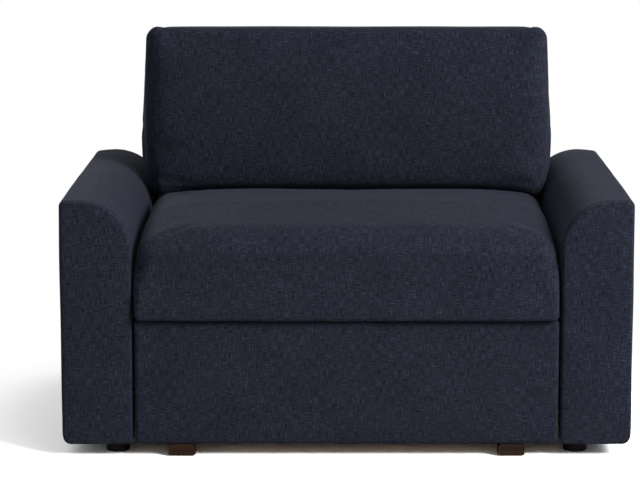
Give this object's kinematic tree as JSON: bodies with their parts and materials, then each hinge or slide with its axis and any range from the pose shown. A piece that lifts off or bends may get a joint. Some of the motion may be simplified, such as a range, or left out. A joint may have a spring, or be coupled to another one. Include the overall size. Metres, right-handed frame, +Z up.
{
  "type": "convertible chair bed",
  "caption": "Upholstered armchair with padded arms and a loose back cushion whose seat rolls forward and unfolds into a single bed on folding legs.",
  "frame": {"origin": "on the floor, under the middle of the closed chair's bounding box", "axes": "+X to the right as seen from the front, -Y towards the front, +Z up"},
  "size_m": [1.32, 0.974, 0.948],
  "materials": {
    "upholstery": "dark navy slub weave",
    "ticking": "pale mattress ticking",
    "plywood": "unfinished birch plywood",
    "softwood": "planed softwood",
    "hardboard": "black hardboard",
    "dark_wood": "dark brown satin varnish",
    "black_plastic": "matt black",
    "grey_steel": "grey powder coat",
    "bright_steel": "zinc plated"
  },
  "bodies": {
    "chair": {"left_arm_cover": "upholstery", "right_arm_cover": "upholstery", "left_arm_facing": "upholstery", "right_arm_facing": "upholstery", "left_arm_frame": "softwood", "right_arm_frame": "softwood", "left_pivot_bracket": "grey_steel", "right_pivot_bracket": "grey_steel", "arm_bases": "hardboard", "arm_feet": "black_plastic", "base_front_rail": "softwood", "base_rear_rail": "softwood", "arm_bolts": "bright_steel", "back_posts": "softwood", "back_top_rail": "softwood", "back_lower_cover": "upholstery", "back_upper_cover": "upholstery", "back_cap": "upholstery", "wing_boards": "plywood", "wing_covers": "upholstery", "side_tracks": "grey_steel"},
    "swing_arms": {"left_swing_arm": "grey_steel", "right_swing_arm": "grey_steel"},
    "head_section": {"head_mattress": "ticking", "head_board": "plywood", "head_pivot_pins": "bright_steel", "head_hinge_pins": "bright_steel", "left_head_cheek": "grey_steel", "right_head_cheek": "grey_steel"},
    "back_cushion": {"back_cushion": "upholstery"},
    "middle_section": {"middle_mattress": "ticking", "middle_board": "plywood", "middle_cross_rails": "grey_steel", "roller_axles": "bright_steel", "front_panel_board": "plywood", "front_panel_cover": "upholstery", "foot_glides": "black_plastic", "lower_hinge_leaves": "bright_steel", "left_middle_rail": "grey_steel", "right_middle_rail": "grey_steel", "left_hinge_plate": "grey_steel", "right_hinge_plate": "grey_steel", "left_wooden_foot": "dark_wood", "right_wooden_foot": "dark_wood"},
    "left_roller": {"left_track_roller": "black_plastic"},
    "right_roller": {"right_track_roller": "black_plastic"},
    "foot_section": {"foot_mattress": "ticking", "foot_board": "plywood", "foot_front_rail": "softwood", "foot_end_rail": "grey_steel", "seat_cushion": "upholstery", "upper_hinge_leaves": "bright_steel", "fold_hinge_pins": "bright_steel", "leg_pivots": "bright_steel"},
    "left_leg": {"left_leg": "grey_steel", "left_leg_tip": "black_plastic"},
    "right_leg": {"right_leg": "grey_steel", "right_leg_tip": "black_plastic"}
  },
  "joints": [
    {"name": "fold", "type": "hinge", "parent": "chair", "child": "swing_arms", "pos_m": [0, 0.33, 0.3255], "axis": [1, 0, 0], "range_deg": [0, 90]},
    {"name": "head_tilt", "type": "hinge", "parent": "swing_arms", "child": "head_section", "pos_m": [0, 0.33, 0.6105], "axis": [1, 0, 0], "range_deg": [-180, 0]},
    {"name": "middle_level", "type": "hinge", "parent": "head_section", "child": "middle_section", "pos_m": [0, 0.33, 0.3255], "axis": [1, 0, 0], "range_deg": [0, 90]},
    {"name": "foot_flip", "type": "hinge", "parent": "middle_section", "child": "foot_section", "pos_m": [0, -0.484, 0.3255], "axis": [1, 0, 0], "range_deg": [0, 180]},
    {"name": "left_leg_swing", "type": "hinge", "parent": "foot_section", "child": "left_leg", "pos_m": [-0.4, 0.113, 0.4175], "axis": [0, -1, 0], "range_deg": [0, 90]},
    {"name": "right_leg_swing", "type": "hinge", "parent": "foot_section", "child": "right_leg", "pos_m": [0.4, 0.113, 0.4175], "axis": [0, 1, 0], "range_deg": [0, 90]},
    {"name": "left_roller_spin", "type": "hinge", "parent": "middle_section", "child": "left_roller", "pos_m": [-0.4795, 0.295, 0.2085], "axis": [1, 0, 0], "continuous": true},
    {"name": "right_roller_spin", "type": "hinge", "parent": "middle_section", "child": "right_roller", "pos_m": [0.4795, 0.295, 0.2085], "axis": [1, 0, 0], "continuous": true},
    {"name": "cushion_lift", "type": "slide", "parent": "head_section", "child": "back_cushion", "axis": [0, -1, 0], "range_m": [0, 0.3]}
  ],
  "couplings": [
    {"joint": "head_tilt", "follows": "fold", "ratio": -2},
    {"joint": "middle_level", "follows": "fold", "ratio": 1},
    {"joint": "foot_flip", "follows": "fold", "ratio": 2},
    {"joint": "left_leg_swing", "follows": "fold", "ratio": 1},
    {"joint": "right_leg_swing", "follows": "fold", "ratio": 1}
  ]
}
